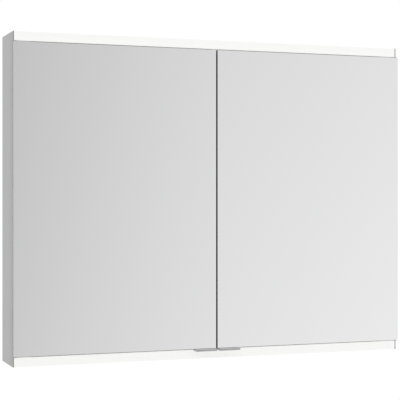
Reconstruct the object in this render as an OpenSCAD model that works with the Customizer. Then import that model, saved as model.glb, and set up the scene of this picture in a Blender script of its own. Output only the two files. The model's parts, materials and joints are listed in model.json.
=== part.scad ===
// Illuminated bathroom mirror cabinet: aluminium body, two double-sided mirror doors on corner pivots,
// opal light strips along the top and the bottom, glass shelves inside.
// X runs to the right, Y runs from the room to the wall, Z is up. Y = 0 is the wall.
// The origin is the centre of the rear face.

/* [Cabinet] */
// Overall width
cab_w = 900; // [700:10:1200]
// Overall height
cab_h = 700; // [600:10:900]
// Depth of the body, from the wall to the front edges of the sides
body_d = 112; // [105:1:160]
// Thickness of the anodised side panels
side_t = 2.5; // [2:0.5:4]
// Thickness of the rear panel
back_t = 5; // [4:1:8]
// Thickness of the inner side liners
liner_t = 10; // [10:1:16]
// Thickness of the middle partition
divider_t = 16; // [14:1:20]
// Thickness of the mirror on the rear wall inside
back_mirror_t = 3; // [3:1:4]

/* [Light strips] */
// Height of each opal strip seen from the front
strip_h = 20; // [15:1:24]
// Wall thickness of the opal strips
opal_t = 2.5; // [2:0.5:3]
// Depth of each light channel
channel_d = 38; // [30:1:45]
// Thickness of the light housing's walls
housing_t = 2; // [1.5:0.5:2.5]
// Spacing of the light-emitting diodes
led_pitch = 30; // [20:5:60]

/* [Doors] */
// Height of the doors
door_h = 655; // [560:1:855]
// Gap between the two doors
door_gap = 3; // [2:0.1:4]
// Distance from the sides' front edges to the doors' front faces
door_front = 10; // [10:0.5:12]
// Thickness of each mirror pane
pane_t = 3; // [3:0.5:4]
// Thickness of the carrier between the panes
core_t = 2.5; // [2.5:0.5:4]
// Set-back of the side panels behind the doors' edges
side_notch = 2; // [2:0.5:6]

/* [Pivots] */
// Distance of the pivot axis from the door's outer edge
pivot_in = 4.5; // [4.3:0.1:5]
// Distance of the pivot axis behind the door's front face
pivot_back = 5.4; // [5.2:0.1:5.6]
// Diameter of the pivot pins
pivot_d = 3; // [2.5:0.5:3]
// Radial play of the pins in the door shoes
pivot_play = 0.05; // [0.03:0.01:0.08]

/* [Grips] */
// Length of each grip
grip_w = 48.5; // [40:0.5:80]
// Distance the grips stand out in front of the doors
grip_out = 11; // [8:1:15]
// Thickness of the grip plate
grip_t = 4.5; // [2:0.5:5]

/* [Shelves] */
// Thickness of the glass shelves
shelf_t = 5; // [5:1:8]
// Depth of the glass shelves
shelf_d = 84; // [70:1:84]
// Number of the pin hole that holds the upper shelves, counted from the lowest
upper_hole = 5; // [4:1:6]
// Number of the pin hole that holds the lower shelves
lower_hole = 2; // [0:1:3]
// Diameter of the shelf pins
shelf_pin_d = 5; // [5:1:6]

/* [Wall fixing] */
// Horizontal spacing of the wall screws
screw_dx = 780; // [500:10:800]
// Vertical spacing of the wall screws
screw_dz = 560; // [400:10:560]
// Diameter of the wall screw holes
screw_d = 6.5; // [5.5:0.5:7]
// Diameter of the supply cable's inlet
inlet_d = 8; // [7:0.5:9]

/* [Hidden] */
$fn = 48;

half_w = cab_w / 2;
half_h = cab_h / 2;
inner_x = half_w - side_t;                      // inside face of the side panels
strip_lip = 0.5;                                // from the housing's floor to the strip's front wall
inner_z = half_h - strip_h - strip_lip;         // inside face of the light housings
door_z = door_h / 2;
fit = 0.3;                                      // assembly gap between loose neighbours

// Depths, counted from the wall
front_y = -body_d;
door_y = front_y - door_front;                  // front face of the doors
core_y = door_y + pane_t;
rear_pane_y = core_y + core_t;
door_rear_y = rear_pane_y + pane_t;
mirror_y = -back_t - back_mirror_t;             // front face of the rear wall's mirror
channel_y = front_y + channel_d;                // rear end of the light channels
liner_y = front_y + 7;                          // front edge of the side liners
divider_y = front_y + 2;                        // front edge of the partition

// Compartments
comp_x0 = divider_t / 2;
comp_x1 = inner_x - liner_t;
comp_w = comp_x1 - comp_x0;

// Side recess behind the doors' outer edges
notch_z = inner_z;

// Doors
door_x1 = half_w;
door_x0 = door_gap / 2;
rear_inset = 0.3;                               // the rear pane and the core stand in from the front pane

// Pivots
pivot_x = half_w - pivot_in;
pivot_y = door_y + pivot_back;
leaf_t = 1.5;
leaf_z = inner_z - leaf_t;                      // underside of the upper leaf
leaf_r = 3.6;                                   // round nose around the pin
leaf_neck = 3;                                  // half width of the neck towards the door's outer edge
leaf_arm = 12;                                  // the leaf's widening behind the neck
leaf_plate = [30, 40];                          // plate with the screws: width and depth
shoe_w = 14;
shoe_h = 24;
shoe_in = 0.4;                                  // the shoes stand in from the doors' outer edges
shoe_bore = 14;
shoe_gap = 0.1;
pin_len = 12;
pivot_washer_t = 0.4;
pivot_washer_r = 3.1;
bracket_screw_x = comp_x1 - 10;
bracket_screw_ys = [front_y + 14, front_y + 30];
bracket_head_r = 2.75;
bracket_head_h = 1.2;

// Wiring bay
bay_z = inner_z + housing_t;                    // floor of the upper bay
cover_t = 2;
cover_z = half_h - cover_t;
inlet_x = 60;
inlet_z = bay_z + 8.5;
inlet_wall = 1.5;                               // wall of the rubber grommet
inlet_lip = 1;                                  // its lip inside the rear panel
wall_washer_r = 13;
wall_washer_t = 2;
driver = [180, 40, 12];
driver_corner_r = 3;
driver_slot_in = 6;                             // fixing holes, counted from the driver's ends
driver_slot_r = 1.6;
driver_x = 150;
driver_y = -42;
terminal = [30, 20, 12];
terminal_x = 100;
terminal_y = -30;
terminal_poles = 3;
terminal_pitch = 10;
terminal_screw_r = 1.75;
terminal_screw_depth = 7;
terminal_wire_r = 1.5;
terminal_wire_z = 4.5;
post_r = 4;
post_bore = 10;
post_xs = [-430, -150, 230, 430];
post_y = -14;
screw_r = 1.5;                                  // all small machine screws are M3
screw_head_r = 3;
screw_head_h = 1.6;
cover_screw_len = 9;
cover_screw_play = 0.1;                         // around the countersunk heads
cross_w = 0.7;                                  // width of the screws' cross slots
cross_l = 3.6;                                  // their length
lead_z = bay_z + 5;
driver_lead_y = -34;
driver_lead_d = 4;
strip_lead_d = 3;
strip_lead_y = driver_y - 14;
strip_lead_x = 20;                              // where a strip's lead passes the housing's web
lead_hole_r = 3;
lead_channel_y = driver_y - 8;                  // lead to the lower strip, down inside the partition

// Light boards
board_t = 1.2;
board_w = 12;
board_y = front_y + 14;
board_x = inner_x - 8;
chip = [3.5, 2.8, 0.8];
led_count = floor((2 * board_x - 20) / led_pitch);
lead_end_y = board_y + 10;

// Service box
box_w = 112;
box_h = 52;
box_d = 42;
box_wall = 2;
box_x = comp_x0 + box_w / 2;
box_z = inner_z - box_h / 2;
box_y = mirror_y - box_d;
socket_x = box_x - 22;
socket_out = 1.5;                               // the rim stands out in front of the box
socket_floor_t = 2;
contact_dx = 9.5;                               // half distance of the two contact holes
contact_r = 2.5;
socket_r = 19.5;
socket_depth = 17.5;
socket_rim = 22;
button_x = box_x + 34;
button_r = 7;
button_dz = 10.5;
button_out = 3;
button_play = 0.3;
button_collar = 1.6;
collar_t = 1.5;
collar_y = box_y + box_wall + 0.4;              // the collar rests just behind the box's face
button_travel = 2;
switch_size = [22, 12, 44];

// Shelf pins
pin_rows_y = [front_y + 22, -24];
pin_pitch = 64;
pin_levels = [for (i = [-3:3]) i * pin_pitch];
pin_depth = 6.5;                                // of the blind holes
pin_play = 0.02;
pin_stub = 6;
pin_bottom_gap = 0.5;                           // between a pin's end and the bottom of its hole
shelf_y = -12 - shelf_d;
shelf_gap = 1.5;
shelf_corner_r = 2;
upper_z = pin_levels[upper_hole] + shelf_pin_d / 2;
lower_z = pin_levels[lower_hole] + shelf_pin_d / 2;

// Catches and bumpers
catch_z = 230;
magnet = [12, 14, 36];
disc_r = 7;
disc_t = 1;
bumper_z = 290;
bumper_r = 3;
bumper_gap = 0.2;

// Grips
grip_x0 = 3;                                    // from the cabinet's middle
grip_gap = 0.2;
grip_flange_t = 1.2;
grip_flange_h = 28;
grip_corner_r = 1;

// Mirrors geometry left to right: side = -1 is the left-hand copy
module sided(side) {
    if (side < 0) mirror([1, 0, 0]) children();
    else children();
}

// Copies the upper piece to the bottom
module top_and_bottom() {
    children();
    mirror([0, 0, 1]) children();
}

// Box between two opposite corners
module span(a, b) {
    translate(a) cube(b - a);
}

// Cylinder along Y from y0 to y1
module rod_y(x, z, y0, y1, r) {
    translate([x, y0, z]) rotate([-90, 0, 0]) cylinder(h = y1 - y0, r = r);
}

// Cylinder along X from x0 to x1
module rod_x(x0, x1, y, z, r) {
    translate([x0, y, z]) rotate([0, 90, 0]) cylinder(h = x1 - x0, r = r);
}

// Flat bar with rounded corners, extruded upwards
module rounded_bar(size, r) {
    linear_extrude(height = size[2]) {
        translate([r, 0]) square([size[0] - 2 * r, size[1]]);
        translate([0, r]) square([size[0], size[1] - 2 * r]);
        for (x = [r, size[0] - r], y = [r, size[1] - r]) translate([x, y]) circle(r = r);
    }
}

// Cross slot of a screw head between two heights
module cross_slot(z0, z1) {
    for (a = [0, 90]) rotate(a) span([-cross_l / 2, -cross_w / 2, z0], [cross_l / 2, cross_w / 2, z1]);
}

// Wire along a chain of points with round elbows
module wire(points, d) {
    for (i = [0:len(points) - 2]) {
        run = points[i + 1] - points[i];
        length = norm(run);
        translate(points[i])
            rotate([0, acos(run[2] / length), atan2(run[1], run[0])])
                cylinder(h = length, d = d, $fn = 16);
    }
    for (i = [1:1:len(points) - 2]) translate(points[i]) sphere(d = d, $fn = 16);
}

// ---- Body ----

module side_panel(side) {
    color("silver") sided(side) difference() {
        span([inner_x, front_y, -half_h], [half_w, 0, half_h]);
        span([inner_x - 1, front_y - 1, -notch_z], [half_w + 1, front_y + side_notch, notch_z]);
    }
}
module side_panel_left() side_panel(-1);
module side_panel_right() side_panel(1);

// Two columns of blind holes between x0 and x1
module pin_holes(x0, x1) {
    for (y = pin_rows_y, z = pin_levels) rod_x(x0, x1, y, z, shelf_pin_d / 2 + pin_play);
}

module side_liner(side) {
    color("whitesmoke") sided(side) difference() {
        span([comp_x1, liner_y, -inner_z], [inner_x, -back_t, inner_z]);
        pin_holes(comp_x1 - 1, comp_x1 + pin_depth);
    }
}
module side_liner_left() side_liner(-1);
module side_liner_right() side_liner(1);

module divider() {
    color("whitesmoke") difference() {
        span([-comp_x0, divider_y, -inner_z], [comp_x0, -back_t, inner_z]);
        for (side = [-1, 1]) sided(side) pin_holes(comp_x0 - pin_depth, comp_x0 + 1);
        translate([0, lead_channel_y, -inner_z - 1]) cylinder(h = 2 * inner_z + 2, r = lead_hole_r);
    }
}

module screw_places() {
    for (x = [-1, 1], z = [-1, 1]) translate([x * screw_dx / 2, 0, z * screw_dz / 2]) children();
}

module back_panel() {
    color("lightgray") difference() {
        span([-inner_x, -back_t, -cover_z], [inner_x, 0, cover_z]);
        screw_places() rod_y(0, 0, -back_t - 1, 1, screw_d / 2);
        rod_y(inlet_x, inlet_z, -back_t - 1, 1, inlet_d / 2 + inlet_wall);
    }
}

module back_mirror(side) {
    color("lightsteelblue") difference() {
        sided(side) span([comp_x0 + fit, mirror_y, -inner_z + fit], [comp_x1 - fit, -back_t, inner_z - fit]);
        screw_places() rod_y(0, 0, mirror_y - 1, 0, wall_washer_r + 1);
    }
}
module back_mirror_left() back_mirror(-1);
module back_mirror_right() back_mirror(1);

module wall_washers() {
    color("silver") screw_places() difference() {
        rod_y(0, 0, -back_t - wall_washer_t, -back_t, wall_washer_r);
        rod_y(0, 0, -back_t - wall_washer_t - 1, 1, screw_d / 2);
    }
}

// ---- Light strips and wiring bays ----

// Floor plate and web; the floor's front edge lies behind the strip's front wall
module housing_profile() {
    difference() {
        union() {
            span([-inner_x, front_y + opal_t, inner_z], [inner_x, -back_t, bay_z]);
            span([-inner_x, channel_y, bay_z], [inner_x, channel_y + housing_t, cover_z]);
            for (x = post_xs) translate([x, post_y, bay_z]) cylinder(h = cover_z - bay_z, r = post_r);
        }
        for (x = post_xs) translate([x, post_y, cover_z - post_bore]) cylinder(h = post_bore + 1, r = screw_r);
        // over the lead channel in the partition
        translate([0, lead_channel_y, inner_z - 1]) cylinder(h = housing_t + 2, r = lead_hole_r);
        // in the web, for the strip's own lead
        rod_y(strip_lead_x, lead_z, channel_y - 1, channel_y + housing_t + 1, lead_hole_r);
        // for the screws of the pivot brackets
        for (side = [-1, 1], y = bracket_screw_ys)
            translate([side * bracket_screw_x, y, inner_z - 1]) cylinder(h = housing_t + 2, r = screw_r);
    }
}

module light_housing_top() color("silver") housing_profile();
module light_housing_bottom() color("silver") mirror([0, 0, 1]) housing_profile();

// Angle profile: front wall and roof of the light channel
module diffuser_profile() {
    difference() {
        span([-inner_x, front_y, half_h - strip_h], [inner_x, channel_y, half_h]);
        span([-inner_x - 1, front_y + opal_t, half_h - strip_h - 1],
             [inner_x + 1, channel_y + 1, half_h - opal_t]);
    }
}
module diffuser_top() color("white") diffuser_profile();
module diffuser_bottom() color("white") mirror([0, 0, 1]) diffuser_profile();

module cover_plate() {
    difference() {
        span([-inner_x, channel_y, cover_z], [inner_x, 0, half_h]);
        for (x = post_xs) translate([x, post_y, 0]) {
            translate([0, 0, cover_z - 1]) cylinder(h = cover_t + 2, r = screw_r);
            translate([0, 0, half_h - screw_head_h]) cylinder(h = screw_head_h + 1, r = screw_head_r);
        }
    }
}
module cover_top() color("silver") cover_plate();
module cover_bottom() color("silver") mirror([0, 0, 1]) cover_plate();

module cover_screw() {
    difference() {
        union() {
            translate([0, 0, half_h - cover_screw_len]) cylinder(h = cover_screw_len - 1, r = screw_r);
            translate([0, 0, half_h - screw_head_h])
                cylinder(h = screw_head_h - 2 * cover_screw_play, r = screw_head_r - cover_screw_play);
        }
        cross_slot(half_h - 1, half_h + 1);
    }
}
module cover_screws() {
    color("gainsboro") top_and_bottom() for (x = post_xs) translate([x, post_y, 0]) cover_screw();
}

module board() span([-board_x, board_y, bay_z], [board_x, board_y + board_w, bay_z + board_t]);
module led_board_top() color("white") board();
module led_board_bottom() color("white") mirror([0, 0, 1]) board();

module chips() {
    for (i = [0:led_count - 1])
        translate([(i - (led_count - 1) / 2) * led_pitch - chip[0] / 2, board_y + board_w / 2 - chip[1] / 2,
                   bay_z + board_t])
            cube(chip);
}
module led_chips_top() color("khaki") chips();
module led_chips_bottom() color("khaki") mirror([0, 0, 1]) chips();

module led_driver() {
    color("white") translate([driver_x, driver_y - driver[1] / 2, bay_z]) difference() {
        rounded_bar(driver, driver_corner_r);
        for (x = [driver_slot_in, driver[0] - driver_slot_in])
            translate([x, driver[1] / 2, -1]) cylinder(h = driver[2] + 2, r = driver_slot_r);
    }
}

module terminal_block() {
    color("ivory") translate([terminal_x, terminal_y - terminal[1] / 2, bay_z]) difference() {
        cube(terminal);
        for (i = [0:terminal_poles - 1]) translate([(i + 0.5) * terminal_pitch, 0, 0]) {
            translate([0, terminal[1] / 2, terminal[2] - terminal_screw_depth])
                cylinder(h = terminal_screw_depth + 1, r = terminal_screw_r);
            rod_y(0, terminal_wire_z, -1, terminal[1] / 3, terminal_wire_r);
        }
    }
}

// Short lead between the terminal block and the driver
module driver_lead() {
    color("white") wire([
        [terminal_x + terminal[0], driver_lead_y, lead_z],
        [driver_x, driver_lead_y, lead_z]
    ], driver_lead_d);
}

// Lead from the driver to the upper board, through the hole in the housing's web
module lead_top() {
    color("white") wire([
        [driver_x, strip_lead_y, lead_z],
        [strip_lead_x, strip_lead_y, lead_z],
        [strip_lead_x, lead_end_y, lead_z],
        [strip_lead_x, lead_end_y, bay_z + board_t]
    ], strip_lead_d);
}

// Lead to the lower board, down through the partition
module lead_bottom() {
    color("white") wire([
        [driver_x, lead_channel_y, lead_z],
        [0, lead_channel_y, lead_z],
        [0, lead_channel_y, -lead_z],
        [strip_lead_x, lead_channel_y, -lead_z],
        [strip_lead_x, lead_end_y, -lead_z],
        [strip_lead_x, lead_end_y, -bay_z - board_t]
    ], strip_lead_d);
}

module cable_grommet() {
    color("dimgray") difference() {
        union() {
            rod_y(inlet_x, inlet_z, -back_t, 0, inlet_d / 2 + inlet_wall);
            rod_y(inlet_x, inlet_z, -back_t - inlet_wall, -back_t, inlet_d / 2 + inlet_wall + inlet_lip);
        }
        rod_y(inlet_x, inlet_z, -back_t - inlet_wall - 1, 1, inlet_d / 2);
    }
}

// ---- Service box with socket and buttons ----

module button_places() {
    for (s = [-1, 1]) translate([button_x, 0, box_z + s * button_dz]) children();
}

module service_box() {
    color("whitesmoke") difference() {
        span([box_x - box_w / 2, box_y, box_z - box_h / 2], [box_x + box_w / 2, mirror_y, box_z + box_h / 2]);
        span([box_x - box_w / 2 + box_wall, box_y + box_wall, box_z - box_h / 2 + box_wall],
             [box_x + box_w / 2 - box_wall, mirror_y + 1, box_z + box_h / 2 - box_wall]);
        rod_y(socket_x, box_z, box_y - 1, box_y + box_wall + 1, socket_rim);
        button_places() rod_y(0, 0, box_y - 1, box_y + box_wall + 1, button_r + button_play);
    }
}

// Recessed outlet: a round cup with two contact holes in its floor
module socket_insert() {
    floor_y = box_y + socket_depth;
    color("white") difference() {
        rod_y(socket_x, box_z, box_y - socket_out, floor_y + socket_floor_t, socket_rim);
        rod_y(socket_x, box_z, box_y - socket_out - 1, floor_y, socket_r);
        for (s = [-1, 1])
            rod_y(socket_x + s * contact_dx, box_z, floor_y - 1, floor_y + socket_floor_t + 1, contact_r);
    }
}

// Push button with a collar behind the box's face that keeps it in
module push_button(s) {
    z = box_z + s * button_dz;
    color("silver") {
        rod_y(button_x, z, box_y - button_out, collar_y + collar_t, button_r);
        rod_y(button_x, z, collar_y, collar_y + collar_t, button_r + button_collar);
    }
}
module button_upper() push_button(1);
module button_lower() push_button(-1);

// Switch block behind the two buttons
module switch_block() {
    color("white") translate([button_x - switch_size[0] / 2, collar_y + collar_t + button_travel + fit,
                              box_z - switch_size[2] / 2])
        cube(switch_size);
}

// ---- Shelves ----

module shelf(side, z) {
    color("lightcyan") sided(side)
        translate([comp_x0 + shelf_gap, shelf_y, z])
            rounded_bar([comp_w - 2 * shelf_gap, shelf_d, shelf_t], shelf_corner_r);
}
module shelf_left_upper() shelf(-1, upper_z);
module shelf_left_lower() shelf(-1, lower_z);
module shelf_right_upper() shelf(1, upper_z);
module shelf_right_lower() shelf(1, lower_z);

module shelf_pins() {
    in = pin_depth - pin_bottom_gap;
    levels = [pin_levels[lower_hole], pin_levels[upper_hole]];
    color("silver") for (side = [-1, 1], y = pin_rows_y, z = levels) sided(side) {
        rod_x(comp_x1 - pin_stub, comp_x1 + in, y, z, shelf_pin_d / 2);
        rod_x(comp_x0 - in, comp_x0 + pin_stub, y, z, shelf_pin_d / 2);
    }
}

// ---- Bumpers and catches ----

module door_bumpers() {
    color("white") for (side = [-1, 1], z = [-bumper_z, bumper_z])
        rod_y(side * comp_x0 / 2, z, door_rear_y + bumper_gap, divider_y, bumper_r);
}

module magnet_catches() {
    color("gray") for (side = [-1, 1], z = [-catch_z, catch_z])
        sided(side) translate([comp_x0, door_rear_y + disc_t + fit, z - magnet[2] / 2]) cube(magnet);
}

module catch_discs(side) {
    color("silver") sided(side) for (z = [-catch_z, catch_z])
        rod_y(comp_x0 + magnet[0] / 2, z, door_rear_y, door_rear_y + disc_t, disc_r);
}
module catch_discs_left() catch_discs(-1);
module catch_discs_right() catch_discs(1);

// ---- Pivots ----

// Leaf under the light housing's floor, with a round nose that carries the pin in front of the body
module pivot_bracket() {
    difference() {
        union() {
            translate([pivot_x, pivot_y, leaf_z]) cylinder(h = leaf_t, r = leaf_r);
            span([pivot_x - leaf_r, pivot_y, leaf_z],
                 [pivot_x + leaf_neck, front_y + side_notch - fit, inner_z]);
            span([pivot_x - leaf_r - leaf_arm, front_y + 1, leaf_z], [inner_x - fit, liner_y - fit, inner_z]);
            span([pivot_x - leaf_r - leaf_plate[0], front_y + 1, leaf_z],
                 [comp_x1 - fit, front_y + leaf_plate[1], inner_z]);
        }
        translate([pivot_x, pivot_y, leaf_z - 1]) cylinder(h = leaf_t + 2, r = pivot_d / 2);
        for (y = bracket_screw_ys)
            translate([bracket_screw_x, y, leaf_z - 1]) cylinder(h = leaf_t + 2, r = screw_r);
    }
}
module pivot_brackets(side) color("silver") sided(side) top_and_bottom() pivot_bracket();
module pivot_brackets_left() pivot_brackets(-1);
module pivot_brackets_right() pivot_brackets(1);

module pivot_pins(side) {
    color("silver") sided(side) top_and_bottom()
        translate([pivot_x, pivot_y, inner_z - pin_len]) cylinder(h = pin_len, r = pivot_d / 2);
}
module pivot_pins_left() pivot_pins(-1);
module pivot_pins_right() pivot_pins(1);

module bracket_screws() {
    color("gainsboro") for (side = [-1, 1]) sided(side) top_and_bottom() for (y = bracket_screw_ys)
        translate([bracket_screw_x, y, 0]) difference() {
            union() {
                translate([0, 0, leaf_z]) cylinder(h = leaf_t + housing_t, r = screw_r);
                translate([0, 0, leaf_z - bracket_head_h]) cylinder(h = bracket_head_h, r = bracket_head_r);
            }
            cross_slot(leaf_z - bracket_head_h - 1, leaf_z - bracket_head_h / 2);
        }
}

// ---- Doors ----

module door_mirror(side) {
    color("lightgray") sided(side) span([door_x0, door_y, -door_z], [door_x1, core_y, door_z]);
}
module door_mirror_left() door_mirror(-1);
module door_mirror_right() door_mirror(1);

// Layer behind the front pane, with room for the pivot shoes at the outer corners
module door_layer(y0, y1) {
    difference() {
        span([door_x0 + rear_inset, y0, -door_z + rear_inset], [door_x1 - rear_inset, y1, door_z - rear_inset]);
        for (s = [-1, 1])
            span([door_x1 - shoe_w - shoe_gap, y0 - 1, s > 0 ? door_z - shoe_h - shoe_gap : -door_z - 1],
                 [door_x1 + 1, y1 + 1, s > 0 ? door_z + 1 : -door_z + shoe_h + shoe_gap]);
    }
}
module door_core(side) color("gray") sided(side) door_layer(core_y, rear_pane_y);
module door_core_left() door_core(-1);
module door_core_right() door_core(1);

module door_rear_mirror(side) color("lightsteelblue") sided(side) door_layer(rear_pane_y, door_rear_y);
module door_rear_mirror_left() door_rear_mirror(-1);
module door_rear_mirror_right() door_rear_mirror(1);

// Metal shoe in the door's corner with the bore that turns on the pin
module pivot_shoe() {
    difference() {
        span([door_x1 - shoe_w, core_y, door_z - shoe_h], [door_x1 - shoe_in, door_rear_y, door_z]);
        translate([pivot_x, pivot_y, door_z - shoe_bore])
            cylinder(h = shoe_bore + 1, r = pivot_d / 2 + pivot_play);
    }
}
module pivot_shoes(side) color("silver") sided(side) top_and_bottom() pivot_shoe();
module pivot_shoes_left() pivot_shoes(-1);
module pivot_shoes_right() pivot_shoes(1);

module pivot_washers(side) {
    color("white") sided(side) top_and_bottom() translate([pivot_x, pivot_y, door_z]) difference() {
        cylinder(h = pivot_washer_t, r = pivot_washer_r);
        translate([0, 0, -1]) cylinder(h = pivot_washer_t + 2, r = pivot_d / 2 + pivot_play);
    }
}
module pivot_washers_left() pivot_washers(-1);
module pivot_washers_right() pivot_washers(1);

// Angle profile under the door: the plate stands out in front, the flange is glued to the rear pane
module grip(side) {
    plate_y = door_y - grip_out;
    color("silver") sided(side) translate([grip_x0, 0, -door_z - grip_gap - grip_t]) {
        translate([0, plate_y, 0])
            rounded_bar([grip_w, door_rear_y + grip_flange_t - plate_y, grip_t], grip_corner_r);
        translate([grip_corner_r, door_rear_y, 0])
            cube([grip_w - 2 * grip_corner_r, grip_flange_t, grip_flange_h]);
    }
}
module grip_left() grip(-1);
module grip_right() grip(1);

side_panel_left();
side_panel_right();
side_liner_left();
side_liner_right();
divider();
back_panel();
back_mirror_left();
back_mirror_right();
light_housing_top();
light_housing_bottom();
diffuser_top();
diffuser_bottom();
cover_top();
cover_bottom();
cover_screws();
led_board_top();
led_board_bottom();
led_chips_top();
led_chips_bottom();
led_driver();
terminal_block();
driver_lead();
lead_top();
lead_bottom();
cable_grommet();
service_box();
socket_insert();
switch_block();
button_upper();
button_lower();
shelf_left_upper();
shelf_left_lower();
shelf_right_upper();
shelf_right_lower();
shelf_pins();
wall_washers();
door_bumpers();
magnet_catches();
pivot_brackets_left();
pivot_brackets_right();
pivot_pins_left();
pivot_pins_right();
bracket_screws();
door_mirror_left();
door_core_left();
door_rear_mirror_left();
grip_left();
pivot_shoes_left();
pivot_washers_left();
catch_discs_left();
door_mirror_right();
door_core_right();
door_rear_mirror_right();
grip_right();
pivot_shoes_right();
pivot_washers_right();
catch_discs_right();
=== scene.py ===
import json
import math

import bmesh
import bpy
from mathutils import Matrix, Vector


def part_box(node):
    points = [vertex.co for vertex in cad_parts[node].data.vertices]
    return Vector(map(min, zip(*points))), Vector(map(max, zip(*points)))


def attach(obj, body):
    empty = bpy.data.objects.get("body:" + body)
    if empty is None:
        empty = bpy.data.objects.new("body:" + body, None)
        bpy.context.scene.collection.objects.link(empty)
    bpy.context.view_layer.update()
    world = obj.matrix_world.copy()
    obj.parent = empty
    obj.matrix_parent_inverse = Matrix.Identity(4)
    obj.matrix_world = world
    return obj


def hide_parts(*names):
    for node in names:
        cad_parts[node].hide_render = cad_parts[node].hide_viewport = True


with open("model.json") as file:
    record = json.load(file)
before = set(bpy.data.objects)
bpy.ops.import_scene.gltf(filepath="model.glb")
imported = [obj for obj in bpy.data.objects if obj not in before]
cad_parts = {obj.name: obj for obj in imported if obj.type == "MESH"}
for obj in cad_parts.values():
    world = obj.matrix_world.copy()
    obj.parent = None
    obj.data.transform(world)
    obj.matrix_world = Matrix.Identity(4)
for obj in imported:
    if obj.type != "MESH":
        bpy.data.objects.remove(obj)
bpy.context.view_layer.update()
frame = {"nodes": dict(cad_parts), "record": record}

MM = 0.001
ROOT = "cabinet"
SIDES = ("left", "right")
ENDS = ("top", "bottom")
SHELVES = [f"shelf_{side}_{level}" for side in SIDES for level in ("upper", "lower")]
EDGE_DEGREES = 35        # where two faces meet at more than this, the edge is rounded and shaded sharp
FLAT = 0.97              # least part of a face's normal along an axis for the face to count as square to it


# ---- Camera and studio ----

def make_camera():
    """A level camera left of the middle, far enough away for the cabinet's faint convergence."""
    yaw = math.radians(20.26)
    aside, ahead, height = -0.970, 2.531, 0.005
    body_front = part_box("side_panel_left")[0][1]
    data = bpy.data.cameras.new("camera")
    data.sensor_width = 36.0
    data.lens = 110.7
    data.shift_y = -0.00825
    cam = bpy.data.objects.new("camera", data)
    cam.location = (aside, body_front - ahead, height)
    cam.rotation_euler = (math.pi / 2, 0.0, -yaw)
    bpy.context.scene.collection.objects.link(cam)
    bpy.context.scene.camera = cam


def make_world():
    """White behind the cabinet. In front, where the mirrors look, soft grey, lighter to the right."""
    world = bpy.data.worlds.new("studio")
    bpy.context.scene.world = world
    world.use_nodes = True
    g = Graph(world.node_tree)
    g.tree.nodes.clear()
    direction = g.node("ShaderNodeTexCoord").outputs["Generated"]
    x, y, z = g.split(direction)
    across = g.ramp(g.remap(x, -1.0, 1.0, 0.0, 1.0), [
        (0.00, 0.95), (0.25, 0.72), (0.48, 0.50), (0.60, 0.622), (0.64, 0.705),
        (0.675, 0.776), (0.71, 0.812), (0.74, 0.845), (0.80, 0.89), (1.00, 1.0),
    ])
    white, darker_upwards = 1.02, -0.38
    tilt = g.math("MULTIPLY_ADD", z, darker_upwards, 1.0)
    room = g.math("MULTIPLY", across, tilt)
    behind = g.smooth(y, -0.25, 0.15)
    level = g.mix_value(behind, room, white)
    back = g.node("ShaderNodeBackground")
    g.link(level, back.inputs["Color"])
    back.inputs["Strength"].default_value = 1.0
    out = g.node("ShaderNodeOutputWorld")
    g.link(back.outputs[0], out.inputs[0])


def make_floor():
    """Pale floor well below the wall-hung cabinet."""
    half, drop = 4.2, 1.25
    mesh = bpy.data.meshes.new("studio_floor")
    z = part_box("cover_bottom")[0][2] - drop
    corners = [(-half, -half, z), (half, -half, z), (half, half, z), (-half, half, z)]
    mesh.from_pydata(corners, [], [(0, 1, 2, 3)])
    floor = bpy.data.objects.new("studio_floor", mesh)
    bpy.context.scene.collection.objects.link(floor)
    mesh.materials.append(floor_finish())


def make_lights():
    """Two large soft lights high in front and one behind, so edges and metal show soft gradients."""
    for name, place, size, watts in (
        ("key", (-1.6, -2.2, 2.4), 1.6, 14.0),
        ("fill", (2.4, -1.8, 1.6), 1.8, 6.0),
        ("rear", (-1.8, 2.4, 1.8), 1.8, 10.0),
    ):
        data = bpy.data.lights.new(name, "AREA")
        data.shape = "DISK"
        data.size = size
        data.energy = watts
        lamp = bpy.data.objects.new(name, data)
        lamp.location = place
        lamp.rotation_euler = (-Vector(place)).to_track_quat("-Z", "Y").to_euler()
        lamp.visible_camera = False
        lamp.visible_glossy = False
        bpy.context.scene.collection.objects.link(lamp)
    bpy.context.scene.view_settings.view_transform = "Standard"
    bpy.context.scene.view_settings.look = "None"


# ---- Node graphs ----

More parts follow.
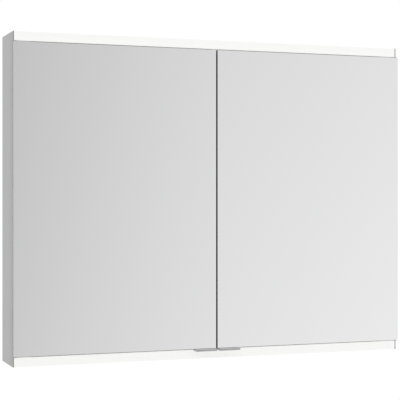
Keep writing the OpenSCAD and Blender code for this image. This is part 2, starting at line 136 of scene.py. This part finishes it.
class Graph:
    """Short spellings for building shader node trees."""

    def __init__(self, tree):
        self.tree = tree

    def node(self, kind, **settings):
        n = self.tree.nodes.new(kind)
        for key, value in settings.items():
            setattr(n, key, value)
        return n

    def link(self, a, b):
        self.tree.links.new(a, b)

    def put(self, socket, value):
        if isinstance(value, (int, float, tuple)):
            socket.default_value = value
        else:
            self.link(value, socket)

    def position(self):
        return self.node("ShaderNodeTexCoord").outputs["Object"]

    def split(self, vector):
        n = self.node("ShaderNodeSeparateXYZ")
        self.link(vector, n.inputs[0])
        return n.outputs[0], n.outputs[1], n.outputs[2]

    def stretched(self, scale):
        n = self.node("ShaderNodeMapping")
        self.link(self.position(), n.inputs["Vector"])
        n.inputs["Scale"].default_value = scale
        return n.outputs[0]

    def noise(self, scale, vector=None, detail=3.0, rough=0.55):
        n = self.node("ShaderNodeTexNoise")
        n.inputs["Scale"].default_value = scale
        n.inputs["Detail"].default_value = detail
        n.inputs["Roughness"].default_value = rough
        self.link(vector or self.position(), n.inputs["Vector"])
        return n.outputs["Fac"]

    def remap(self, value, a, b, c, d, interpolation="LINEAR"):
        n = self.node("ShaderNodeMapRange", interpolation_type=interpolation)
        self.link(value, n.inputs["Value"])
        for key, v in zip(("From Min", "From Max", "To Min", "To Max"), (a, b, c, d)):
            n.inputs[key].default_value = v
        return n.outputs[0]

    def smooth(self, value, a, b, c=0.0, d=1.0):
        return self.remap(value, a, b, c, d, "SMOOTHSTEP")

    def math(self, operation, *values):
        n = self.node("ShaderNodeMath", operation=operation)
        for socket, value in zip(n.inputs, values):
            self.put(socket, value)
        return n.outputs[0]

    def mix_value(self, fac, a, b):
        n = self.node("ShaderNodeMix", data_type="FLOAT")
        for socket, value in ((n.inputs[0], fac), (n.inputs[2], a), (n.inputs[3], b)):
            self.put(socket, value)
        return n.outputs[0]

    def mix_colour(self, fac, a, b):
        n = self.node("ShaderNodeMix", data_type="RGBA")
        for socket, value in ((n.inputs[0], fac), (n.inputs[6], a), (n.inputs[7], b)):
            self.put(socket, value)
        return n.outputs[2]

    def shaded(self, colour, factor):
        n = self.node("ShaderNodeVectorMath", operation="SCALE")
        self.link(colour, n.inputs[0])
        self.link(factor, n.inputs["Scale"])
        return n.outputs[0]

    def ramp(self, value, stops):
        n = self.node("ShaderNodeValToRGB")
        ramp = n.color_ramp
        ramp.interpolation = "B_SPLINE"
        for _ in stops[2:]:
            ramp.elements.new(0.5)
        for element, (place, grey) in zip(ramp.elements, stops):
            element.position = place
            element.color = (grey, grey, grey, 1.0)
        self.link(value, n.inputs[0])
        return n.outputs[0]

    def bump(self, height, strength, distance):
        n = self.node("ShaderNodeBump")
        n.inputs["Strength"].default_value = strength
        n.inputs["Distance"].default_value = distance
        self.link(height, n.inputs["Height"])
        return n.outputs[0]


def grey(v):
    return (v, v, v, 1.0)


def new_finish(name, **sockets):
    """A material with one Principled shader. Sockets given here hold one value all over."""
    mat = bpy.data.materials.new(name)
    mat.use_nodes = True
    g = Graph(mat.node_tree)
    bsdf = mat.node_tree.nodes["Principled BSDF"]
    for key, value in sockets.items():
        bsdf.inputs[key.replace("_", " ")].default_value = value
    return mat, g, bsdf


# ---- Materials ----

def floor_finish():
    mat, g, bsdf = new_finish("floor_paint")
    spots = g.noise(6.0)
    g.link(g.mix_colour(spots, grey(0.84), grey(0.88)), bsdf.inputs["Base Color"])
    g.link(g.remap(spots, 0.0, 1.0, 0.55, 0.75), bsdf.inputs["Roughness"])
    return mat


def brushed(name, tone, rough, along, tint=(1.0, 1.0, 1.0), fleck=0.11, front_band=None):
    """Metal with fine lines along one axis: lighter and darker streaks, uneven gloss, shallow scratches.
    `front_band` darkens the colour in front of a given depth: a darker band along the front of the side
    panels."""
    mat, g, bsdf = new_finish(name, Metallic=1.0, Anisotropic=0.35)
    fine, wide = [2200.0] * 3, [240.0] * 3
    fine["XYZ".index(along)] = 12.0
    wide["XYZ".index(along)] = 1.5
    lines = g.noise(1.0, g.stretched(tuple(fine)), detail=2.0)
    bands = g.noise(1.0, g.stretched(tuple(wide)), detail=3.0)
    cloud = g.noise(7.0, detail=2.0)
    mixed = g.mix_value(0.45, lines, bands)
    low = tuple(tone * c * (1.0 - fleck) for c in tint) + (1.0,)
    high = tuple(tone * c * (1.0 + fleck) for c in tint) + (1.0,)
    colour = g.mix_colour(mixed, low, high)
    if front_band:
        depth, blur = g.split(g.position())[1], 0.5 * MM
        colour = g.shaded(colour, g.smooth(depth, front_band - blur, front_band + blur, 0.91, 1.0))
    g.link(colour, bsdf.inputs["Base Color"])
    gloss = g.mix_value(0.35, mixed, cloud)
    g.link(g.remap(gloss, 0.25, 0.75, rough - 0.07, rough + 0.07), bsdf.inputs["Roughness"])
    g.link(g.bump(mixed, 0.2, 0.00004), bsdf.inputs["Normal"])
    return mat


def worn_edge(name, tone):
    """Rubbed metal on the rounded edges: brighter and glossier than the face, in patches."""
    mat, g, bsdf = new_finish(name, Metallic=1.0)
    patches = g.noise(55.0, detail=4.0)
    g.link(g.mix_colour(g.smooth(patches, 0.42, 0.62), grey(tone * 0.92), grey(min(1.0, tone * 1.18))),
           bsdf.inputs["Base Color"])
    g.link(g.remap(patches, 0.3, 0.7, 0.40, 0.22), bsdf.inputs["Roughness"])
    return mat


def mirror_silver(name, tone):
    """Silvered glass: almost even, with a breath of haze and the faintest waviness of float glass."""
    mat, g, bsdf = new_finish(name, Metallic=1.0)
    haze = g.noise(9.0, detail=5.0, rough=0.6)
    dust = g.noise(1400.0, detail=1.0)
    clean = g.mix_value(g.smooth(dust, 0.70, 0.80), g.remap(haze, 0.3, 0.7, 0.006, 0.018), 0.045)
    g.link(clean, bsdf.inputs["Roughness"])
    low, high = (tone * 0.990, tone * 0.998, tone * 0.992, 1.0), (tone, tone, tone, 1.0)
    g.link(g.mix_colour(haze, low, high), bsdf.inputs["Base Color"])
    wave = g.noise(1.6, detail=1.0)
    g.link(g.bump(wave, 0.05, 0.0006), bsdf.inputs["Normal"])
    return mat


def polished_edge(name, tint):
    """Ground and polished glass edge: glassy, tinted by the long way the light takes through the pane."""
    mat, g, bsdf = new_finish(name, IOR=1.52, Specular_IOR_Level=0.8)
    grind = g.noise(1.0, g.stretched((900.0, 900.0, 900.0)), detail=3.0)
    dark = tuple(c * 0.86 for c in tint) + (1.0,)
    g.link(g.mix_colour(grind, dark, tint + (1.0,)), bsdf.inputs["Base Color"])
    g.link(g.remap(grind, 0.3, 0.7, 0.08, 0.22), bsdf.inputs["Roughness"])
    return mat


def clear_glass(name):
    """Shelf glass, clear over its faces with faint streaks from wiping."""
    mat, g, bsdf = new_finish(name, IOR=1.5, Transmission_Weight=1.0)
    streaks = g.noise(1.0, g.stretched((6.0, 70.0, 6.0)), detail=4.0)
    greenish, clear = (0.93, 0.985, 0.965, 1.0), (0.97, 1.0, 0.99, 1.0)
    g.link(g.mix_colour(streaks, greenish, clear), bsdf.inputs["Base Color"])
    g.link(g.remap(streaks, 0.35, 0.75, 0.0, 0.05), bsdf.inputs["Roughness"])
    return mat


def opal(name, inner, outer):
    """Lit opal acrylic of a strip between two heights. It glows a little more next to the doors."""
    mat, g, bsdf = new_finish(name, IOR=1.49)
    height = g.math("ABSOLUTE", g.split(g.position())[2])
    even_rim = 6 * MM
    outward = g.smooth(height, inner, outer - even_rim)
    grain = g.noise(420.0, detail=2.0)
    lit = g.mix_value(outward, 0.650, 0.605)
    lit = g.math("MULTIPLY", lit, g.remap(grain, 0.2, 0.8, 0.985, 1.015))
    g.link(lit, bsdf.inputs["Emission Strength"])
    bsdf.inputs["Emission Color"].default_value = (1.0, 1.0, 0.972, 1.0)
    g.link(g.mix_colour(grain, grey(0.40), grey(0.42)), bsdf.inputs["Base Color"])
    g.link(g.remap(grain, 0.2, 0.8, 0.32, 0.42), bsdf.inputs["Roughness"])
    return mat


def lacquer(name, colour, rough, pebble=260.0, depth=0.00006):
    """Painted or moulded surface with a fine pebble, uneven gloss and a slight drift of tone."""
    mat, g, bsdf = new_finish(name)
    grain = g.noise(pebble, detail=3.0)
    drift = g.noise(4.0, detail=2.0)
    low = tuple(c * 0.95 for c in colour) + (1.0,)
    high = tuple(min(1.0, c * 1.03) for c in colour) + (1.0,)
    g.link(g.mix_colour(g.mix_value(0.4, drift, grain), low, high), bsdf.inputs["Base Color"])
    g.link(g.remap(grain, 0.3, 0.7, rough - 0.06, rough + 0.06), bsdf.inputs["Roughness"])
    g.link(g.bump(grain, 0.25, depth), bsdf.inputs["Normal"])
    return mat


def milky(name, colour):
    """Soft translucent plastic or silicone."""
    mat, g, bsdf = new_finish(name, Subsurface_Weight=0.4, Subsurface_Scale=0.002)
    grain = g.noise(600.0, detail=2.0)
    g.link(g.mix_colour(grain, tuple(c * 0.95 for c in colour) + (1.0,), colour + (1.0,)),
           bsdf.inputs["Base Color"])
    g.link(g.remap(grain, 0.2, 0.8, 0.25, 0.40), bsdf.inputs["Roughness"])
    return mat


def make_materials():
    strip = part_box("diffuser_top")
    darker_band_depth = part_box("led_board_top")[1][1] + 4 * MM
    return {
        "side": brushed("anodised_side", 0.42, 0.40, "Z", front_band=darker_band_depth),
        "trim": brushed("anodised_trim", 0.62, 0.38, "X"),
        "cover": brushed("anodised_cover", 0.60, 0.40, "X"),
        "edge": worn_edge("rubbed_edge", 0.62),
        # The doors' front silver in two tones: painted light, the right door a little lighter than the left
        # so its reflection shows brighter.
        "mirror_left": mirror_silver("front_silver_left_painted_shade", 0.919),
        "mirror_right": mirror_silver("front_silver_right_painted_light", 0.933),
        "inner_mirror": mirror_silver("inner_silver", 0.90),
        "mirror_edge": polished_edge("pane_edge", (0.52, 0.56, 0.55)),
        # Black for the doors' meeting edges: painted shade that darkens the gap between the two doors.
        "gap_shade_edge": lacquer("pane_edge_gap_shade", (0.035, 0.04, 0.04), 0.35, pebble=900.0, depth=0.00002),
        "glass": clear_glass("shelf_glass"),
        "glass_edge": polished_edge("shelf_edge", (0.30, 0.52, 0.45)),
        "opal": opal("opal_lit", strip[0][2], strip[1][2]),
        "white_panel": lacquer("white_laminate", (0.83, 0.83, 0.82), 0.45),
        "grey_panel": lacquer("grey_rear_coating", (0.50, 0.51, 0.52), 0.55, pebble=420.0, depth=0.0001),
        "white_plastic": lacquer("white_moulding", (0.84, 0.84, 0.83), 0.30, pebble=900.0, depth=0.00001),
        "board": lacquer("board_mask", (0.86, 0.87, 0.84), 0.40, pebble=900.0, depth=0.00002),
        "diode": lacquer("diode_phosphor", (0.86, 0.74, 0.26), 0.25, pebble=1500.0, depth=0.00001),
        "rubber": lacquer("black_rubber", (0.035, 0.035, 0.037), 0.65, pebble=900.0, depth=0.00004),
        "jacket": lacquer("lead_jacket", (0.80, 0.80, 0.79), 0.45, pebble=1200.0, depth=0.00002),
        "grey_plastic": lacquer("grey_moulding", (0.20, 0.205, 0.21), 0.50, pebble=700.0, depth=0.00004),
        "steel": brushed("pivot_steel", 0.58, 0.30, "Y"),
        "screw": brushed("screw_steel", 0.55, 0.26, "X"),
        "button": brushed("button_metal", 0.66, 0.26, "X"),
        "polished": brushed("polished_steel", 0.72, 0.14, "X", fleck=0.03),
        "carrier": brushed("door_carrier", 0.60, 0.42, "Z"),
        "grip": brushed("grip_metal", 0.50, 0.30, "X"),
        # The grips' top faces, lighter and glossier than their fronts: partly a smoother finish, partly
        # painted light on the tops.
        "grip_top_painted_light": brushed("grip_metal_top_painted_light", 0.95, 0.13, "X", fleck=0.04),
        "silicone": milky("clear_silicone", (0.80, 0.82, 0.82)),
        "nylon": milky("nylon", (0.88, 0.88, 0.85)),
    }


# ---- Mesh tools ----

def link(name, mesh):
    obj = bpy.data.objects.new(name, mesh)
    bpy.context.scene.collection.objects.link(obj)
    return obj


def clean_copy(node):
    """A welded copy of a CAD node's mesh with its flat faces made whole again."""
    bm = bmesh.new()
    bm.from_mesh(frame["nodes"][node].data)
    bmesh.ops.remove_doubles(bm, verts=bm.verts, dist=0.005 * MM)
    bmesh.ops.dissolve_limit(bm, angle_limit=math.radians(0.5), verts=bm.verts, edges=bm.edges)
    return bm


def softened(node, finish, radius, edge=None, segments=2, paint=None):
    """Rebuilds a node with rounded edges, `radius` in millimetres, and stands for the node.
    `edge` names the finish of the rounded strips. `paint(face)` picks one of several finishes."""
    bm = clean_copy(node)
    mesh = bpy.data.meshes.new(f"{node}_body")
    bm.to_mesh(mesh)
    bm.free()
    for slot in (finish if isinstance(finish, tuple) else (finish,)):
        mesh.materials.append(M[slot])
    edge_index = -1
    if edge:
        mesh.materials.append(M[edge])
        edge_index = len(mesh.materials) - 1
    smooth_by_angle(mesh)
    raw = link(f"{node}_raw", mesh)
    bevel = raw.modifiers.new("bevel", "BEVEL")
    bevel.width = radius * MM
    bevel.segments = segments
    bevel.limit_method = "ANGLE"
    bevel.angle_limit = math.radians(EDGE_DEGREES)
    bevel.material = edge_index
    bevel.use_clamp_overlap = True
    bevel.harden_normals = True
    bpy.context.view_layer.update()
    done = bpy.data.meshes.new_from_object(raw.evaluated_get(bpy.context.evaluated_depsgraph_get()))
    bpy.data.objects.remove(raw)
    done.name = node
    if paint:
        for face in done.polygons:
            face.material_index = paint(face)
    piece = link(f"{node}_skin", done)
    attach(piece, body_of_node(node))
    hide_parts(node)


def smooth_by_angle(mesh):
    """Smooth shading with sharp corners."""
    mesh.polygons.foreach_set("use_smooth", [True] * len(mesh.polygons))
    mesh.set_sharp_from_angle(angle=math.radians(EDGE_DEGREES))
    mesh.update()


def body_of_node(node):
    for body, nodes in frame["record"]["behaviour"]["bodies"].items():
        if node in nodes:
            return body
    raise KeyError(node)


def turned(bm, profile, u, z, turns=48, axis="Y"):
    """Adds a closed shape turned about a line along Y or X, from points (radius, place on that line).
    The line passes through height z, and through u on the other of the two axes."""
    rings = []
    for r, along in profile:
        count = turns if r else 1
        ring = []
        for a in (2 * math.pi * i / count for i in range(count)):
            across = u + r * math.cos(a)
            x, y = (along, across) if axis == "X" else (across, along)
            ring.append(bm.verts.new((x, y, z + r * math.sin(a))))
        rings.append(ring)
    for near, far in zip(rings, rings[1:]):
        for i in range(turns):
            j = (i + 1) % turns
            corners = [near[i % len(near)], near[j % len(near)], far[j % len(far)], far[i % len(far)]]
            bm.faces.new(list(dict.fromkeys(corners)))


def prism(bm, outline, shift):
    """Adds a closed prism: a flat outline of 3-D points, carried along a vector."""
    ends = [[bm.verts.new(Vector(p) + Vector(move)) for p in outline] for move in ((0, 0, 0), shift)]
    bm.faces.new(ends[0])
    bm.faces.new(list(reversed(ends[1])))
    for i in range(len(outline)):
        j = (i + 1) % len(outline)
        bm.faces.new((ends[0][j], ends[0][i], ends[1][i], ends[1][j]))


def new_piece(name, bm, finish, body, stands_for=()):
    """Turns a bmesh into a piece that rides on a body."""
    bmesh.ops.recalc_face_normals(bm, faces=bm.faces)
    mesh = bpy.data.meshes.new(name)
    bm.to_mesh(mesh)
    bm.free()
    mesh.materials.append(M[finish])
    smooth_by_angle(mesh)
    piece = link(name, mesh)
    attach(piece, body)
    if stands_for:
        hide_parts(*stands_for)


def middle(node):
    low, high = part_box(node)
    return [(a + b) / 2 for a, b in zip(low, high)]


def islands(node):
    """Lowest and highest corners of each separate solid in a CAD node."""
    bm = clean_copy(node)
    left = set(bm.verts)
    boxes = []
    while left:
        queue = [left.pop()]
        group = []
        while queue:
            vert = queue.pop()
            group.append(vert.co.copy())
            linked = {edge.other_vert(vert) for edge in vert.link_edges} & left
            left -= linked
            queue.extend(linked)
        boxes.append([[pick(co[i] for co in group) for i in range(3)] for pick in (min, max)])
    bm.free()
    return sorted(boxes)


def dress(node, finish):
    """Keeps a CAD node's own mesh and gives it a finish."""
    mesh = frame["nodes"][node].data
    mesh.materials.clear()
    mesh.materials.append(M[finish])


# ---- Body ----

def make_body():
    for side in SIDES:
        softened(f"side_panel_{side}", "side", 0.35, "edge")
        softened(f"side_liner_{side}", "white_panel", 0.4)
        softened(f"back_mirror_{side}", ("inner_mirror", "mirror_edge"), 0.4, paint=front_or_edge)
    softened("divider", "white_panel", 0.8, segments=3)
    softened("back_panel", "grey_panel", 0.3)
    for end in ENDS:
        softened(f"light_housing_{end}", "trim", 0.25, "edge")
        softened(f"cover_{end}", "cover", 0.25, "edge")
        softened(f"diffuser_{end}", "opal", 0.8, segments=3)


def front_or_edge(face):
    """0 for a pane's large faces, 1 for its cut edges."""
    return 0 if abs(face.normal.y) > FLAT else 1


def meeting_edge(side):
    """As front_or_edge, with 2 for the edges at the middle of the cabinet, painted black: painted shade in
    the gap between the doors.
    """
    inward = 1.0 if side == "left" else -1.0
    return lambda face: 2 if face.normal.x * inward > 0.25 else front_or_edge(face)


# ---- Lights and wiring ----

def make_electrics():
    for end in ENDS:
        softened(f"led_board_{end}", "board", 0.1, segments=1)
        softened(f"led_chips_{end}", "diode", 0.12, segments=1)
        dress(f"lead_{end}", "jacket")
    softened("led_driver", "white_plastic", 0.8)
    softened("terminal_block", "white_plastic", 0.4)
    dress("driver_lead", "jacket")
    softened("cable_grommet", "rubber", 0.4)


def make_service_box():
    softened("service_box", "white_plastic", 1.2, segments=3)
    softened("socket_insert", "white_plastic", 0.7, segments=3)
    softened("switch_block", "white_plastic", 0.5)
    make_socket_details()
    for which in ("upper", "lower"):
        make_button(which)


def make_button(which):
    """Turned push button with a shallow dish, a chamfered rim and its collar."""
    node = f"button_{which}"
    low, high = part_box(node)
    x, _, z = middle(node)
    collar, collar_t = (high[0] - low[0]) / 2, 1.5 * MM
    r = collar - 1.6 * MM
    front, rear = low[1], high[1]
    dish = [(0, 0.55), (0.42, 0.46), (0.70, 0.16), (0.78, 0.0)]
    rim = [(0.90, 0.0), (0.98, 0.25), (1.0, 0.7)]
    profile = [(share * r, front + depth * MM) for share, depth in dish + rim]
    profile += [(r, rear - collar_t), (collar, rear - collar_t), (collar, rear), (0, rear)]
    bm = bmesh.new()
    turned(bm, profile, x, z, turns=64)
    new_piece(f"push_button_{which}", bm, "button", f"{which}_button", (node,))


def make_socket_details():
    """Two sprung earth clips on the recess wall and the slotted screw in the middle of its floor."""
    low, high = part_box("socket_insert")
    x, _, z = middle("socket_insert")
    wall_t, floor_t = 2.5 * MM, 2.0 * MM
    wall = (high[0] - low[0]) / 2 - wall_t
    floor = high[1] - floor_t
    make_socket_clips(x, z, wall, floor)
    make_socket_screw(x, z, floor)


def make_socket_clips(x, z, wall, floor):
    width, thickness = 5 * MM, 0.7
    # in millimetres, from the floor outwards: distance from the wall, height over the floor
    spring = [(0.9, 0.0), (1.1, 3.0), (2.4, 8.0), (2.7, 10.0), (2.3, 12.0), (0.7, 16.0)]
    back = [(w - thickness, d) for w, d in reversed(spring)]
    bm = bmesh.new()
    for up in (1, -1):
        outline = [(x - width / 2, floor - d * MM, z + up * (wall - w * MM)) for w, d in spring + back]
        prism(bm, outline, (width, 0, 0))
    new_piece("socket_clips", bm, "polished", ROOT)


def make_socket_screw(x, z, floor):
    """A flat head with a slot: a disc, and two half discs on it that leave the slot between them."""
    r, slot_w, disc_t, half_t = 3.4 * MM, 0.7 * MM, 0.6 * MM, 0.7 * MM
    arc_steps = 20
    bm = bmesh.new()
    turned(bm, [(0, floor - disc_t), (r, floor - disc_t), (r, floor), (0, floor)], x, z)
    cut = math.asin(slot_w / 2 / r)
    arc = [cut + (math.pi - 2 * cut) * i / arc_steps for i in range(arc_steps + 1)]
    for half in (1, -1):
        outline = [(x + r * math.cos(a), floor - disc_t - half_t, z + half * r * math.sin(a)) for a in arc]
        prism(bm, outline, (0, half_t, 0))
    new_piece("socket_screw", bm, "screw", ROOT)


# ---- Shelves and fittings ----

def make_fittings():
    for shelf in SHELVES:
        softened(shelf, ("glass", "glass_edge"), 0.7, segments=3,
                 paint=lambda face: 0 if abs(face.normal.z) > FLAT else 1)
    make_shelf_supports()
    softened("wall_washers", "screw", 0.3)
    make_bumpers()
    softened("magnet_catches", "grey_plastic", 1.0, segments=3)
    make_pole_plates()
    softened("cover_screws", "screw", 0.12, segments=1)
    softened("bracket_screws", "screw", 0.12, segments=1)
    for side in SIDES:
        softened(f"pivot_brackets_{side}", "steel", 0.25)
        softened(f"pivot_pins_{side}", "polished", 0.25)


def make_shelf_supports():
    """Turned steel pins with a clear silicone sleeve let into the half that carries the shelf."""
    pins, sleeves = bmesh.new(), bmesh.new()
    for low, high in islands("shelf_pins"):
        y, z = (low[1] + high[1]) / 2, (low[2] + high[2]) / 2
        r, length = (high[2] - low[2]) / 2, high[0] - low[0]
        bay = middle("shelf_left_upper" if low[0] < 0 else "shelf_right_upper")[0]
        free, inward = (high[0], -1) if high[0] < bay else (low[0], 1)
        # (radius, distance from the free end); the sleeve lies in the groove from head to seat
        head, seat, neck = 1.3 * MM, 4.7 * MM, 0.80 * r
        rounding, full = 0.3 * MM, 0.985 * r
        tip = [(0, 0), (0.72 * r, 0), (0.93 * r, 0.2 * MM), (r, 0.6 * MM)]
        groove = [(r, head), (neck, head), (neck, seat), (r, seat)]
        root = [(r, length - 0.5 * MM), (0.84 * r, length), (0, length)]
        sleeve = [(neck, head), (0.94 * r, head), (full, head + rounding), (full, seat - rounding),
                  (0.94 * r, seat), (neck, seat), (neck, head)]
        for bm, profile in ((pins, tip + groove + root), (sleeves, sleeve)):
            placed = [(radius, free + inward * along) for radius, along in profile]
            turned(bm, placed, y, z, turns=40, axis="X")
    bmesh.ops.remove_doubles(sleeves, verts=sleeves.verts, dist=0.001 * MM)
    new_piece("shelf_supports", pins, "polished", ROOT, ("shelf_pins",))
    new_piece("support_sleeves", sleeves, "silicone", ROOT)


def make_bumpers():
    """Domed silicone pads on the partition's front edge."""
    low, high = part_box("door_bumpers")
    tip, base = low[1], high[1]
    r, steps, fullness = 3 * MM, 9, 0.8
    angles = [math.pi / 2 * i / steps for i in range(steps)]
    dome = [(r * math.sin(a), base - (base - tip) * math.cos(a) ** fullness) for a in angles]
    bm = bmesh.new()
    for x in (low[0] + r, high[0] - r):
        for z in (low[2] + r, high[2] - r):
            turned(bm, dome + [(r, base), (0, base)], x, z)
    new_piece("bumper_pads", bm, "silicone", ROOT, ("door_bumpers",))


def make_pole_plates():
    """Steel pole plates let into the front of each magnet housing, two to a housing."""
    low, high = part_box("magnet_catches")
    disc = middle("catch_discs_right")[0]
    apart = (high[0] - disc) / 2
    level = high[2] - 18 * MM
    half_w, half_l, proud, depth = 0.8 * MM, 13 * MM, 0.12 * MM, 3 * MM
    y = low[1] - proud
    bm = bmesh.new()
    for side in (1, -1):
        for z in (level, -level):
            for x in (side * (disc - apart / 2), side * (disc + apart / 2)):
                corners = ((-1, -1), (1, -1), (1, 1), (-1, 1))
                outline = [(x + i * half_w, y, z + k * half_l) for i, k in corners]
                prism(bm, outline, (0, depth, 0))
    new_piece("pole_plates", bm, "steel", ROOT)


# ---- Doors ----

def make_door(side):
    edges = meeting_edge(side)
    # Glass and carrier take the black finish on their meeting edges: painted shade in the gap between the
    # doors.
    softened(f"door_mirror_{side}", (f"mirror_{side}", "mirror_edge", "gap_shade_edge"), 0.3, paint=edges)
    softened(f"door_core_{side}", ("carrier", "carrier", "gap_shade_edge"), 0.2, paint=edges)
    softened(f"door_rear_mirror_{side}", ("inner_mirror", "mirror_edge", "gap_shade_edge"), 0.4, paint=edges)
    # Faces turned upwards take the lighter grip finish: painted light on the grips' tops.
    softened(f"grip_{side}", ("grip", "grip_top_painted_light"), 0.4, segments=3,
             paint=lambda face: 1 if face.normal.z > 0.5 else 0)
    softened(f"pivot_shoes_{side}", "steel", 0.25)
    softened(f"pivot_washers_{side}", "nylon", 0.08, segments=1)
    softened(f"catch_discs_{side}", "polished", 0.2)


make_world()
make_floor()
make_lights()
make_camera()
M = make_materials()
make_body()
make_electrics()
make_service_box()
make_fittings()
for door_side in SIDES:
    make_door(door_side)
